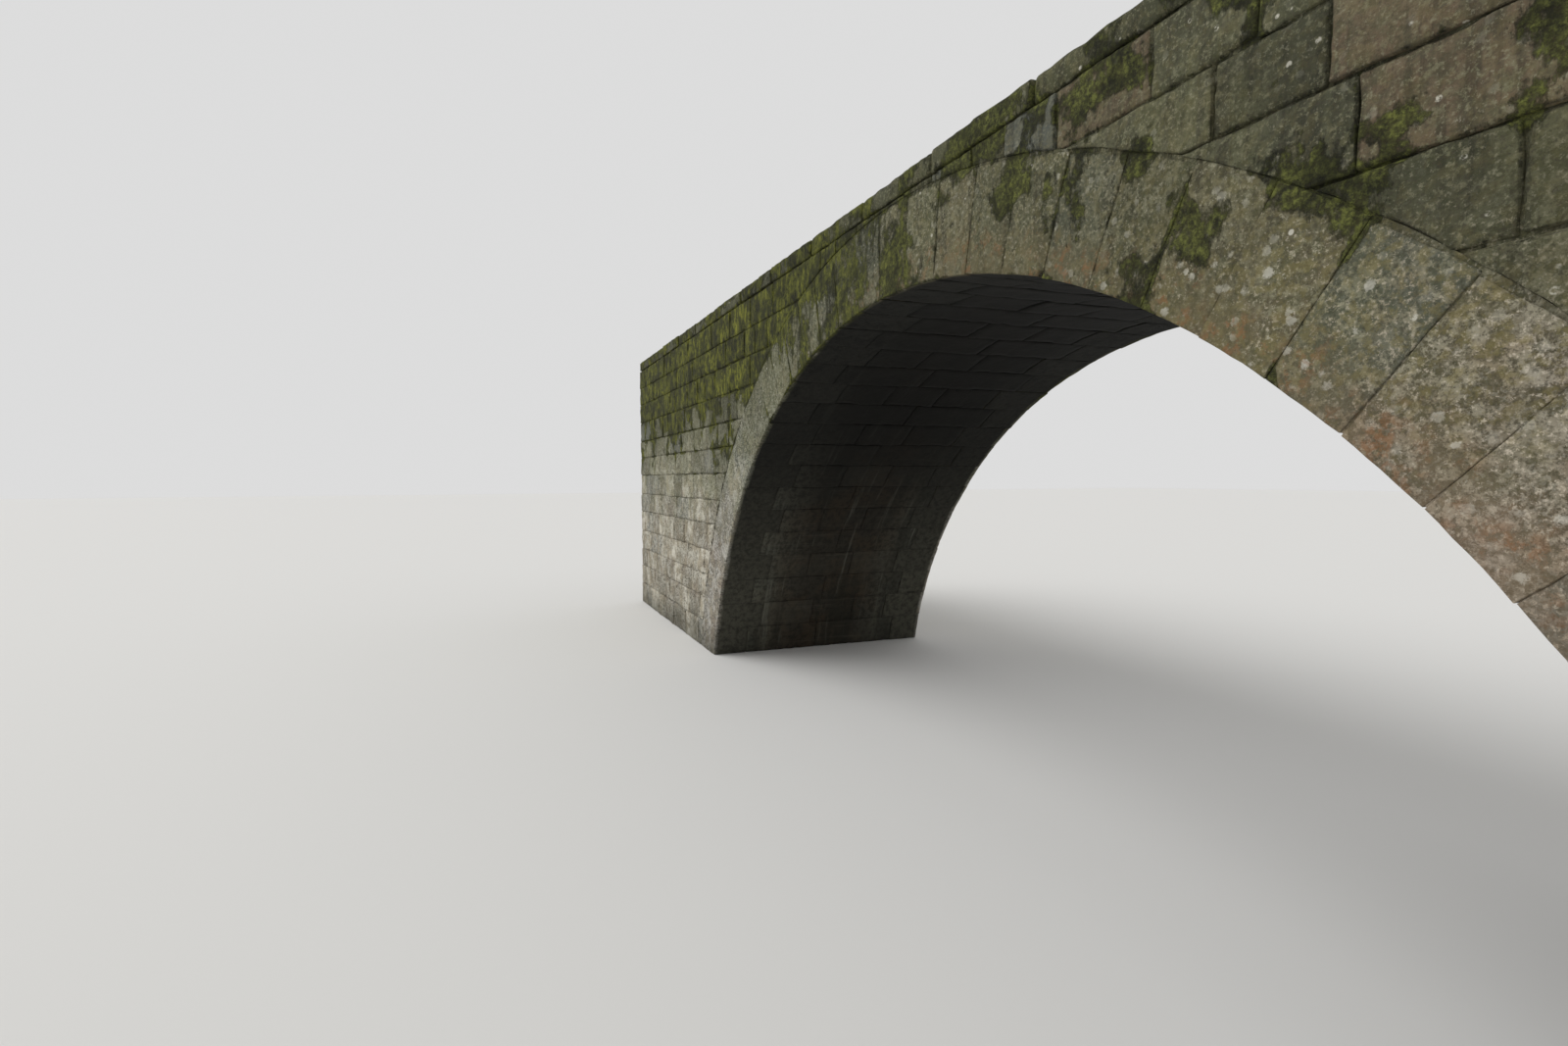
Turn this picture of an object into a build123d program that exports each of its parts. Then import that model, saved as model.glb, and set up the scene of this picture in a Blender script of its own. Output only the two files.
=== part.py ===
"""Single-span stone arch bridge: two rings of tapered voussoirs with a coursed barrel between them,
spandrel and wing walls on both faces, rubble hearting, a flagged deck and low kerbs.

Frame: +X along the bridge, -Y the near face, +Z up. The origin is at the middle of the base,
on the water line, where the masonry stands.
"""
import os
from math import asin, cos, degrees, radians, sin, sqrt

from build123d import *

# Arch
arch_radius = 4600.0
centre_below_base = 1200.0
ring_depth = 580.0
stones_in_ring = 35
long_stone_bite = 560.0
short_stone_bite = 400.0
face_arris = 12.0
soffit_arris = 16.0

# Body of the bridge
bridge_width = 2820.0
bridge_length = 18000.0
wall_thickness = 450.0
end_wall_thickness = 450.0
wing_start_clearance = 200.0
levelling_half_length = 1200.0
levelling_least = 30.0

# Deck and kerbs
kerb_stones = 19
kerb_width = 320.0
kerb_height = 150.0
kerb_joint = 12.0
kerb_chamfer = 18.0
deck_thickness = 100.0
deck_joint = 10.0

# Derived places
outer_radius = arch_radius + ring_depth
half_width = bridge_width / 2
half_length = bridge_length / 2
first_bed = degrees(asin(centre_below_base / arch_radius))
bed_step = (180 - 2 * first_bed) / stones_in_ring
key_stone = stones_in_ring // 2
wall_top = outer_radius - centre_below_base + levelling_least
half_span = sqrt(arch_radius ** 2 - centre_below_base ** 2)


def arch_point(radius, bed):
    """Where a bed joint, counted from the right springing, meets a circle round the arch's centre."""
    angle = radians(first_bed + bed * bed_step)
    return (radius * cos(angle), radius * sin(angle) - centre_below_base)


foot_x = arch_point(outer_radius, 0)[0]
wing_x = foot_x + wing_start_clearance
inner_end_x = half_length - end_wall_thickness
near_face = Plane.XZ.offset(half_width)


def stone_section(index, plane):
    """Section of one arch stone, tapered between its beds. The springer stands on the base."""
    arris = soffit_arris / (arch_radius * radians(bed_step))
    with BuildSketch(plane) as section:
        with BuildLine():
            if index == 0:
                start = (half_span, 0)
                low_corner = [start]
                foot = [(foot_x, 0)]
            else:
                start = arch_point(arch_radius, index + arris)
                low_corner = [arch_point(arch_radius + soffit_arris, index), start]
                foot = []
            stop = arch_point(arch_radius, index + 1 - arris)
            ThreePointArc(start, arch_point(arch_radius, index + 0.5), stop)
            Polyline(stop, arch_point(arch_radius + soffit_arris, index + 1),
                     arch_point(outer_radius, index + 1), arch_point(outer_radius, index), *foot, *low_corner)
        make_face()
    return section.sketch


def bite(index):
    """How far a ring stone reaches into the barrel: long and short stones alternate."""
    return long_stone_bite if (index - key_stone) % 2 == 0 else short_stone_bite


def ring_stones(indices):
    """Face stones of the near ring, one solid each, with the arrises of the face taken off."""
    with BuildPart() as stones:
        for index in indices:
            extrude(stone_section(index, near_face), amount=-bite(index))
        chamfer(stones.faces().filter_by(Axis.Y).group_by(Axis.Y)[0].edges(), length=face_arris)
    return stones.part


def barrel_courses(indices):
    """Courses of the barrel, each one bar between the near and far ring stones of the same bed."""
    with BuildPart() as courses:
        for index in indices:
            ring_back = Plane.XZ.offset(half_width - bite(index))
            extrude(stone_section(index, ring_back), amount=-(bridge_width - 2 * bite(index)))
    return courses.part


def save(part, name):
    """Writes one finished piece under its node's name."""
    part.label = name
    export_step(part, f"parts/{name}.step")


os.makedirs("parts", exist_ok=True)

# Arch: stones on the right half, mirrored to the left, with the keystone between them
long_stones = [index for index in range(key_stone) if bite(index) == long_stone_bite]
short_stones = [index for index in range(key_stone) if bite(index) == short_stone_bite]

for kind, indices in (("long", long_stones), ("short", short_stones)):
    ring = ring_stones(indices)
    barrel = barrel_courses(indices)
    save(ring, f"near_ring_right_{kind}_stones")
    save(mirror(ring, about=Plane.YZ), f"near_ring_left_{kind}_stones")
    save(mirror(ring, about=Plane.XZ), f"far_ring_right_{kind}_stones")
    save(mirror(mirror(ring, about=Plane.XZ), about=Plane.YZ), f"far_ring_left_{kind}_stones")
    save(barrel, f"barrel_right_{kind}_courses")
    save(mirror(barrel, about=Plane.YZ), f"barrel_left_{kind}_courses")

keystone = ring_stones([key_stone])
save(keystone, "near_keystone")
save(mirror(keystone, about=Plane.XZ), "far_keystone")
save(barrel_courses([key_stone]), "barrel_key_course")


def backs_up_to(reach):
    """Backs of the arch stones from the foot up to a place beside the crown, and the point cut there."""
    last = max(bed for bed in range(key_stone + 1) if arch_point(outer_radius, bed)[0] > reach)
    low, high = arch_point(outer_radius, last), arch_point(outer_radius, last + 1)
    share = (low[0] - reach) / (low[0] - high[0])
    return last, (reach, low[1] + share * (high[1] - low[1]))


def haunch_section(plane):
    """Section over the haunch: along the backs of the arch stones, up to the level wall top."""
    last, cut = backs_up_to(levelling_half_length)
    backs = [arch_point(outer_radius, bed) for bed in range(last + 1)]
    with BuildSketch(plane) as section:
        with BuildLine():
            Polyline((foot_x, 0), *backs, cut, (levelling_half_length, wall_top),
                     (wing_x, wall_top), (wing_x, 0), close=True)
        make_face()
    return section.sketch


def levelling_section(plane):
    """Section of the thin course over the crown, between the two haunches."""
    last, cut = backs_up_to(levelling_half_length)
    backs = [arch_point(outer_radius, bed) for bed in range(last + 1, stones_in_ring - last)]
    with BuildSketch(plane) as section:
        with BuildLine():
            Polyline(cut, *backs, (-cut[0], cut[1]), (-levelling_half_length, wall_top),
                     (levelling_half_length, wall_top), close=True)
        make_face()
    return section.sketch


# Spandrel walls over the haunches, and the hearting between them
with BuildPart() as near_spandrel_right:
    extrude(haunch_section(near_face), amount=-wall_thickness)

with BuildPart() as hearting_right:
    extrude(haunch_section(Plane.XZ.offset(half_width - wall_thickness)),
            amount=-(bridge_width - 2 * wall_thickness))

save(near_spandrel_right.part, "near_spandrel_right")
save(mirror(near_spandrel_right.part, about=Plane.YZ), "near_spandrel_left")
save(mirror(near_spandrel_right.part, about=Plane.XZ), "far_spandrel_right")
save(mirror(mirror(near_spandrel_right.part, about=Plane.XZ), about=Plane.YZ), "far_spandrel_left")
save(hearting_right.part, "hearting_right")
save(mirror(hearting_right.part, about=Plane.YZ), "hearting_left")

with BuildPart() as levelling_course:
    extrude(levelling_section(near_face), amount=-bridge_width)
save(levelling_course.part, "levelling_course")

# Wing walls, abutment core and end wall, standing on the base
wing_length = inner_end_x - wing_x
with BuildPart() as near_wing_wall_right:
    with BuildSketch(Plane.XY):
        with Locations((wing_x + wing_length / 2, -half_width + wall_thickness / 2)):
            Rectangle(wing_length, wall_thickness)
    extrude(amount=wall_top)

with BuildPart() as abutment_core_right:
    with BuildSketch(Plane.XY):
        with Locations((wing_x + wing_length / 2, 0)):
            Rectangle(wing_length, bridge_width - 2 * wall_thickness)
    extrude(amount=wall_top)

with BuildPart() as end_wall_right:
    with BuildSketch(Plane.XY):
        with Locations((half_length - end_wall_thickness / 2, 0)):
            Rectangle(end_wall_thickness, bridge_width)
    extrude(amount=wall_top)

save(near_wing_wall_right.part, "near_wing_wall_right")
save(mirror(near_wing_wall_right.part, about=Plane.YZ), "near_wing_wall_left")
save(mirror(near_wing_wall_right.part, about=Plane.XZ), "far_wing_wall_right")
save(mirror(mirror(near_wing_wall_right.part, about=Plane.XZ), about=Plane.YZ), "far_wing_wall_left")
save(abutment_core_right.part, "abutment_core_right")
save(mirror(abutment_core_right.part, about=Plane.YZ), "abutment_core_left")
save(end_wall_right.part, "end_wall_right")
save(mirror(end_wall_right.part, about=Plane.YZ), "end_wall_left")

# Kerb stones along both edges of the deck
kerb_pitch = bridge_length / kerb_stones
with BuildPart() as near_kerb:
    with BuildSketch(Plane.XY.offset(wall_top)):
        with Locations((0, -half_width + kerb_width / 2)):
            with GridLocations(kerb_pitch, 1, kerb_stones, 1):
                Rectangle(kerb_pitch - kerb_joint, kerb_width)
    extrude(amount=kerb_height)
    chamfer(near_kerb.faces().group_by(Axis.Z)[-1].edges(), length=kerb_chamfer)

save(near_kerb.part, "near_kerb")
save(mirror(near_kerb.part, about=Plane.XZ), "far_kerb")

# Deck slabs between the kerbs: one over the crown and one towards each end
deck_width = bridge_width - 2 * kerb_width - 2 * deck_joint
crown_deck_length = 2 * levelling_half_length
side_deck_length = half_length - crown_deck_length / 2 - deck_joint
with BuildPart() as deck_crown:
    with BuildSketch(Plane.XY.offset(wall_top)):
        Rectangle(crown_deck_length, deck_width)
    extrude(amount=deck_thickness)

with BuildPart() as deck_right:
    with BuildSketch(Plane.XY.offset(wall_top)):
        with Locations((half_length - side_deck_length / 2, 0)):
            Rectangle(side_deck_length, deck_width)
    extrude(amount=deck_thickness)

save(deck_crown.part, "deck_crown")
save(deck_right.part, "deck_right")
save(mirror(deck_right.part, about=Plane.YZ), "deck_left")
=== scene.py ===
"""Dresses the stone arch bridge: every voussoir, wall stone, barrel stone, kerb and flag is its own
weathered block of granite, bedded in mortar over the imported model.

Frame: metres, +X along the bridge, -Y the near face, +Z up, origin at the middle of the base.
"""
import math
import random
from functools import lru_cache, partial

import bmesh
import bpy
import numpy as np
from mathutils import Matrix, Vector


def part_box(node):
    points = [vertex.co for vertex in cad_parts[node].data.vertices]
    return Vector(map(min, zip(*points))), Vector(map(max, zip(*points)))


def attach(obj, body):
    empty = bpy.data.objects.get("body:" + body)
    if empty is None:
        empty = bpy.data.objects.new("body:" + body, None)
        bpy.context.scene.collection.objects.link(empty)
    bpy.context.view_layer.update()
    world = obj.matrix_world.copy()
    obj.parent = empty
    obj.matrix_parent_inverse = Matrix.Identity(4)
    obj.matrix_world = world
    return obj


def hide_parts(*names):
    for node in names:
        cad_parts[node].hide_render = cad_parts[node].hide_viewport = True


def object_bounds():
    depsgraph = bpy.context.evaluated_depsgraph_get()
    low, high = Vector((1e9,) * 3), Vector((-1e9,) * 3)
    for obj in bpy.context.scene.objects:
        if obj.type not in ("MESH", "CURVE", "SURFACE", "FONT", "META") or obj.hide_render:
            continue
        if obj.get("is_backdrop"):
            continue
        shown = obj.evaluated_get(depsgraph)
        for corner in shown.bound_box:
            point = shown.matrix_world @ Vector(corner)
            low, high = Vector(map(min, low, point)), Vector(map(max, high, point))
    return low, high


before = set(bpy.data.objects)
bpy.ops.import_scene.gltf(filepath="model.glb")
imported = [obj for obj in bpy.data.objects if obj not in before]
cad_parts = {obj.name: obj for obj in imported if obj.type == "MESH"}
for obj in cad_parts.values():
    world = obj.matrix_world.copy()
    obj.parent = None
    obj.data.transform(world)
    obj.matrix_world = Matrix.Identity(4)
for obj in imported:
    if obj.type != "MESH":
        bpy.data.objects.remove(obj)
cad_low, cad_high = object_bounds()

# Arch, as the solids are built
arch_radius = 4.6
centre_drop = 1.2
ring_depth = 0.58
ring_count = 35
long_bite = 0.56
short_bite = 0.40
kerb_count = 19

# Places taken from the frame
half_length = cad_high.x
half_width = cad_high.y
kerb_top = cad_high.z
wall_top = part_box("near_wing_wall_right")[1].z
deck_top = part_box("deck_crown")[1].z
kerb_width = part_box("near_kerb")[1].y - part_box("near_kerb")[0].y
levelling_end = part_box("levelling_course")[1].x
outer_radius = arch_radius + ring_depth
key_index = ring_count // 2
springing = math.asin(centre_drop / arch_radius)
bed_turn = (math.pi - 2 * springing) / ring_count
both_faces = ((-1, "near"), (1, "far"))
both_halves = ((1, "right"), (-1, "left"))

# Joints between the stones
joint = 0.007
ring_joint = 0.002
kerb_joint = 0.012
stagger = 0.09

# Mortar: how far it lies back in the joints, and where the beds of ring, barrel, kerbs and deck end
bed_recess = 0.014
bed_depth = 0.45
bed_lift = 0.004
bed_top = wall_top - bed_lift
ring_bed_recess = 0.006
ring_bed_rise = 0.009
ring_bed_over = 0.008
barrel_bed_setback = 0.006
bed_overlap = 0.002
kerb_bed_inset = 0.03
kerb_bed_drop = 0.035
flag_bed_drop = 0.03
flag_edge = 0.01
arc_steps = 64
back_steps = 24
crown_steps = 13

# Stones: how far they reach in, and their shortest and longest lengths along a course
stone_depth = 0.11
barrel_stone_depth = 0.1
flag_depth = 0.09
levelling_height = 0.09
wall_lengths = (0.34, 0.72)
end_lengths = (0.34, 0.7)
levelling_lengths = (0.22, 0.46)
flag_lengths = (0.42, 0.85)
flag_row = 0.62
flag_drop = 0.006
ring_side_least = 0.16
barrel_shift = 0.12

# The last stone of a course, and how far a quoin turns the corner, in courses that alternate
quoin_lengths = (0.44, 0.78)
quoin_returns = (0.66, 0.36)
last_flags = (0.5, 0.77)
last_end_stone = 0.42
last_levelling_stone = 0.3

# Ring stones stop short of the ring's back by a little, and by more at one bed than at the other
back_short = 0.012
back_skew = 0.01

# Spacing of the points on each kind of block
cell = 0.032
coarse_cell = 0.05
ring_cell = 0.042
barrel_cell = 0.045
kerb_cell = 0.04

# Darkening of the undersides of the ring stones, damp and painted shade, in from the soffit and back from the
# face
soffit_band = 0.012
soffit_fade = 0.02

# Numbers that fix the layout of each face
layout_seeds = {("near", 1): 11, ("near", -1): 23, ("far", 1): 37, ("far", -1): 41}
number_step = 17.0

# Rough dressing of each kind of stone, where it isn't that of the walls
ring_dressing = {"Wave depth": 0.008, "Wave size": 0.16, "Pit depth": 0.003, "Deepest": 0.002,
                 "Chip depth": 0.003}
barrel_dressing = {"Wave depth": 0.009, "Pit depth": 0.004}
levelling_dressing = {"Wave depth": 0.005, "Pit depth": 0.003}
kerb_dressing = {"Wave depth": 0.010, "Pit depth": 0.005}
flag_dressing = {"Wave depth": 0.008, "Pit depth": 0.003}


def back_x(z):
    """Half width of the ring's back at a height."""
    return np.sqrt(np.maximum(outer_radius ** 2 - (z + centre_drop) ** 2, 0.0))


def back_z(x):
    """Height of the ring's back at a distance from the middle."""
    return np.sqrt(np.maximum(outer_radius ** 2 - x ** 2, 0.0)) - centre_drop


@lru_cache(maxsize=None)
def block_lattice(na, nb, nc):
    """Surface grid of a block, as steps along its three sides, with its faces. The back is one plain face."""
    shell = np.zeros((na + 1, nb + 1, nc + 1), bool)
    shell[[0, -1], :, :] = True
    shell[:, [0, -1], :] = True
    shell[:, :, 0] = True
    number = np.full(shell.shape, -1)
    number[shell] = np.arange(shell.sum())
    faces = []
    for grid in (number[0], number[-1], number[:, 0], number[:, -1], number[:, :, 0]):
        quads = np.stack([grid[:-1, :-1], grid[1:, :-1], grid[1:, 1:], grid[:-1, 1:]], axis=-1)
        faces.extend(quads.reshape(-1, 4).tolist())
    back = number[:, :, -1]
    rim = [*back[:-1, 0], *back[-1, :-1], *back[:0:-1, -1], *back[0, :0:-1]]
    faces.append([int(corner) for corner in rim])
    return np.argwhere(shell), faces


def ruled(count, length, arris):
    """Places of the grid lines along one side: one line an arris in from each end, the rest even."""
    inset = min(arris / length, 0.3)
    return np.concatenate([[0.0], np.linspace(inset, 1 - inset, count - 1), [1.0]])


class Stonework:
    """Blocks that share one mesh. Each keeps its number, its tone and how near each point is to an arris."""

    def __init__(self, seed):
        self.dice = random.Random(seed)
        self.seed = seed
        self.count = 0
        self.points, self.faces = [], []
        self.stone, self.tone, self.edge, self.damp_and_shade = [], [], [], []
        self.total = 0

    def lay(self, place, size, fine=cell, depth_cells=2, arris=(0.006, 0.016), slack=0.006, soffit=False,
            proud=0.004, tilt=0.005):
        """Adds a block. place turns shares of its sides (0 to 1) into a point; the third runs in from the face.

        arris: least and most wear of its edges. slack: how far its corners slide. proud and tilt: how its face
        stands out and leans.
        """
        lengths = np.array(size)
        round_off = self.dice.uniform(*arris)
        counts = [max(3, round(lengths[0] / fine)), max(3, round(lengths[1] / fine)), depth_cells]
        steps, faces = block_lattice(*counts)
        lines = [ruled(n, length, round_off) for n, length in zip(counts, lengths)]
        if depth_cells == 2:
            lines[2] = np.array([0.0, min(round_off / lengths[2], 0.5), 1.0])
        share = np.stack([lines[axis][steps[:, axis]] for axis in range(3)], axis=1)
        metric = share * lengths
        # Arrises worn round: points are drawn onto a ball rolled inside the block
        core = np.clip(metric, round_off, lengths - round_off)
        away = metric - core
        reach = np.linalg.norm(away, axis=1)
        reach[reach == 0] = 1
        worn = core + away / reach[:, None] * round_off
        near = np.sort(np.minimum(metric, lengths - metric), axis=1)[:, 1]
        # Corners out of true: each corner of the face slides a little along the wall
        slides = np.array([[self.dice.uniform(-slack, slack) for _ in range(2)] for _ in range(4)])
        a, b = share[:, 0:1], share[:, 1:2]
        worn[:, :2] += (slides[0] * (1 - a) * (1 - b) + slides[1] * a * (1 - b)
                        + slides[2] * (1 - a) * b + slides[3] * a * b)
        lean = [self.dice.uniform(-tilt, tilt) for _ in range(2)]
        worn[:, 2] += (self.dice.uniform(-proud, proud)
                       + lean[0] * (share[:, 0] - 0.5) + lean[1] * (share[:, 1] - 0.5))
        where = worn / lengths
        self.points.append(np.stack(place(where[:, 0], where[:, 1], where[:, 2]), axis=1))
        self.faces.extend([[corner + self.total for corner in face] for face in faces])
        size_now = len(steps)
        self.total += size_now
        self.count += 1
        self.stone.append(np.full(size_now, self.count + self.seed * number_step))
        self.tone.append(np.full(size_now, self.dice.random()))
        self.edge.append(near)
        if soffit:
            low_down = np.clip(1.2 - metric[:, 1] / soffit_band, 0, 1)
            self.damp_and_shade.append(low_down * np.clip(metric[:, 2] / soffit_fade, 0, 1))
        else:
            self.damp_and_shade.append(np.zeros(size_now))

    def build(self, name):
        """Turns the blocks into one object with their facts as attributes."""
        mesh = bpy.data.meshes.new(name)
        mesh.from_pydata(np.concatenate(self.points).tolist(), [], self.faces)
        for label in ("stone", "tone", "edge", "damp_and_shade"):
            layer = mesh.attributes.new(label, "FLOAT", "POINT")
            layer.data.foreach_set("value", np.concatenate(getattr(self, label)).astype(np.float32))
        return finish_mesh(mesh, name)


def finish_mesh(mesh, name):
    """Points every face outwards, smooths the shading and links the object."""
    work = bmesh.new()
    work.from_mesh(mesh)
    bmesh.ops.recalc_face_normals(work, faces=work.faces)
    work.to_mesh(mesh)
    work.free()
    mesh.polygons.foreach_set("use_smooth", [True] * len(mesh.polygons))
    piece = bpy.data.objects.new(name, mesh)
    bpy.context.scene.collection.objects.link(piece)
    return piece


def settle(piece, slot, *nodes):
    """Lets a piece go with the bridge and hides the nodes that it stands for, if any."""
    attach(piece, "root")
    if nodes:
        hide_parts(*nodes)


def mortar_bed(name, outline, ends, material, slot):
    """Closed prism of mortar, from an outline in X and Z, between two places across the bridge."""
    count = len(outline)
    points = [(x, y, z) for y in sorted(ends) for x, z in outline]
    faces = [tuple(range(count)), tuple(range(count, 2 * count))]
    faces += [(i, (i + 1) % count, count + (i + 1) % count, count + i) for i in range(count)]
    mesh = bpy.data.meshes.new(name)
    mesh.from_pydata(points, [], faces)
    piece = finish_mesh(mesh, name)
    mesh.polygons.foreach_set("use_smooth", [False] * len(mesh.polygons))
    mesh.materials.append(material)
    settle(piece, slot)


def upright_box(low_x, high_x, low_z, high_z):
    """Rectangular outline in X and Z."""
    return [(low_x, low_z), (high_x, low_z), (high_x, high_z), (low_x, high_z)]


def linear(code, alpha=1.0):
    """An sRGB hex colour as linear values."""
    parts = [int(code[start:start + 2], 16) / 255 for start in (1, 3, 5)]
    return tuple(p / 12.92 if p <= 0.04045 else ((p + 0.055) / 1.055) ** 2.4 for p in parts) + (alpha,)


def add_node(tree, kind, inputs=(), **settings):
    """Adds a node, sets its properties, fills its inputs and gives its outputs.

    inputs: values, hex colours or links, in their order, or by number or name. A kind that doesn't say Node
    is a shader node.
    """
    node = tree.nodes.new(kind if "Node" in kind else "ShaderNode" + kind)
    for key, value in settings.items():
        setattr(node, key, value)
    for key, value in inputs.items() if isinstance(inputs, dict) else enumerate(inputs):
        if isinstance(value, bpy.types.NodeSocket):
            tree.links.new(value, node.inputs[key])
        else:
            is_colour = isinstance(value, str) and value.startswith("#")
            node.inputs[key].default_value = linear(value) if is_colour else value
    return node.outputs


# Rough dressing: the mason's point leaves a wavy face, and frost has pitted it

def dressing_tree():
    """Geometry nodes that roughen every block by its own number and give it its material."""
    tree = bpy.data.node_groups.new("rough_dressing", "GeometryNodeTree")
    add = partial(add_node, tree)
    face = tree.interface
    face.new_socket("Stones", in_out="INPUT", socket_type="NodeSocketGeometry")
    for label, value in (("Wave depth", 0.014), ("Wave size", 0.20), ("Pit depth", 0.004), ("Pit size", 0.06),
                         ("Deepest", 0.006), ("Chip depth", 0.010), ("Chip size", 0.11), ("Seed", 3.0)):
        face.new_socket(label, in_out="INPUT", socket_type="NodeSocketFloat").default_value = value
    face.new_socket("Material", in_out="INPUT", socket_type="NodeSocketMaterial")
    face.new_socket("Stones", in_out="OUTPUT", socket_type="NodeSocketGeometry")
    given = add("NodeGroupInput")
    place = add("GeometryNodeInputPosition")[0]
    number, edge = (add("GeometryNodeInputNamedAttribute", {"Name": fact}, data_type="FLOAT")["Attribute"]
                    for fact in ("stone", "edge"))
    own = add("Math", (number, given["Seed"], 0.37), operation="MULTIPLY_ADD")[0]
    relief = 0.0
    for depth, size, detail in (("Wave depth", "Wave size", 1.5), ("Pit depth", "Pit size", 3.0)):
        pitch = add("Math", (1.0, given[size]), operation="DIVIDE")[0]
        cloud = add("TexNoise", {"Vector": place, "W": own, "Scale": pitch, "Detail": detail, "Roughness": 0.5},
                    noise_dimensions="4D")[0]
        level = add("Math", (cloud, 0.5), operation="SUBTRACT")[0]
        twice = add("Math", (level, 2.0), operation="MULTIPLY")[0]
        relief = add("Math", (twice, given[depth], relief), operation="MULTIPLY_ADD")[0]
    # Hollows stop short of the mortar behind
    deepest = add("Math", (0.0, given["Deepest"]), operation="SUBTRACT")[0]
    relief = add("Math", (relief, deepest), operation="MAXIMUM")[0]
    # Chips out of the arrises
    pitch = add("Math", (1.0, given["Chip size"]), operation="DIVIDE")[0]
    cloud = add("TexNoise", {"Vector": place, "W": own, "Scale": pitch, "Detail": 2.0},
                noise_dimensions="4D")[0]
    where = add("MapRange", (cloud, 0.48, 0.66))[0]
    rim = add("MapRange", (edge, 0.0, 0.02, 1.0, 0.0))[0]
    chip = add("Math", (where, rim), operation="MULTIPLY")[0]
    loss = add("Math", (chip, given["Chip depth"]), operation="MULTIPLY")[0]
    relief = add("Math", (relief, loss), operation="SUBTRACT")[0]
    normal = add("GeometryNodeInputNormal")[0]
    push = add("VectorMath", {0: normal, "Scale": relief}, operation="SCALE")[0]
    moved = add("GeometryNodeSetPosition", {"Geometry": given["Stones"], "Offset": push})[0]
    # Nothing reaches below the base
    x, y, z = add("SeparateXYZ", (place,))
    floor = add("Math", (z, 0.0), operation="MAXIMUM")[0]
    level_place = add("CombineXYZ", (x, y, floor))[0]
    stood = add("GeometryNodeSetPosition", {"Geometry": moved, "Position": level_place})[0]
    real = add("GeometryNodeRealizeInstances", {"Geometry": stood})[0]
    coated = add("GeometryNodeSetMaterial", {"Geometry": real, "Material": given["Material"]})[0]
    add("NodeGroupOutput", {"Stones": coated})
    return tree


def dress(piece, material, sizes=None):
    """Roughens a piece's blocks with the dressing tree and keeps the result as a plain mesh."""
    change = piece.modifiers.new("dressing", "NODES")
    change.node_group = rough_dressing
    given = {"Material": material, **(sizes or {})}
    for item in rough_dressing.interface.items_tree:
        if item.in_out == "INPUT" and item.name in given:
            change[item.identifier] = given[item.name]
    baked = bpy.data.meshes.new_from_object(piece.evaluated_get(bpy.context.evaluated_depsgraph_get()))
    baked.name = piece.name
    piece.modifiers.clear()
    piece.data = baked
    return piece


# Finishes

def bare_material(name):
    """A material with an empty tree, and add_node for that tree."""
    material = bpy.data.materials.new(name)
    material.use_nodes = True
    material.node_tree.nodes.clear()
    return material, partial(add_node, material.node_tree)


def matt_surface(add, colour, relief, strength, distance, roughness, gloss):
    """Ends a stone's tree: a matt surface with its relief as bump."""
    bump = add("Bump", {"Strength": strength, "Distance": distance, "Height": relief})[0]
    surface = add("BsdfPrincipled", {"Base Color": colour, "Roughness": roughness, "Specular IOR Level": gloss,
                                     "Normal": bump})[0]
    add("OutputMaterial", {"Surface": surface})


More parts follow.
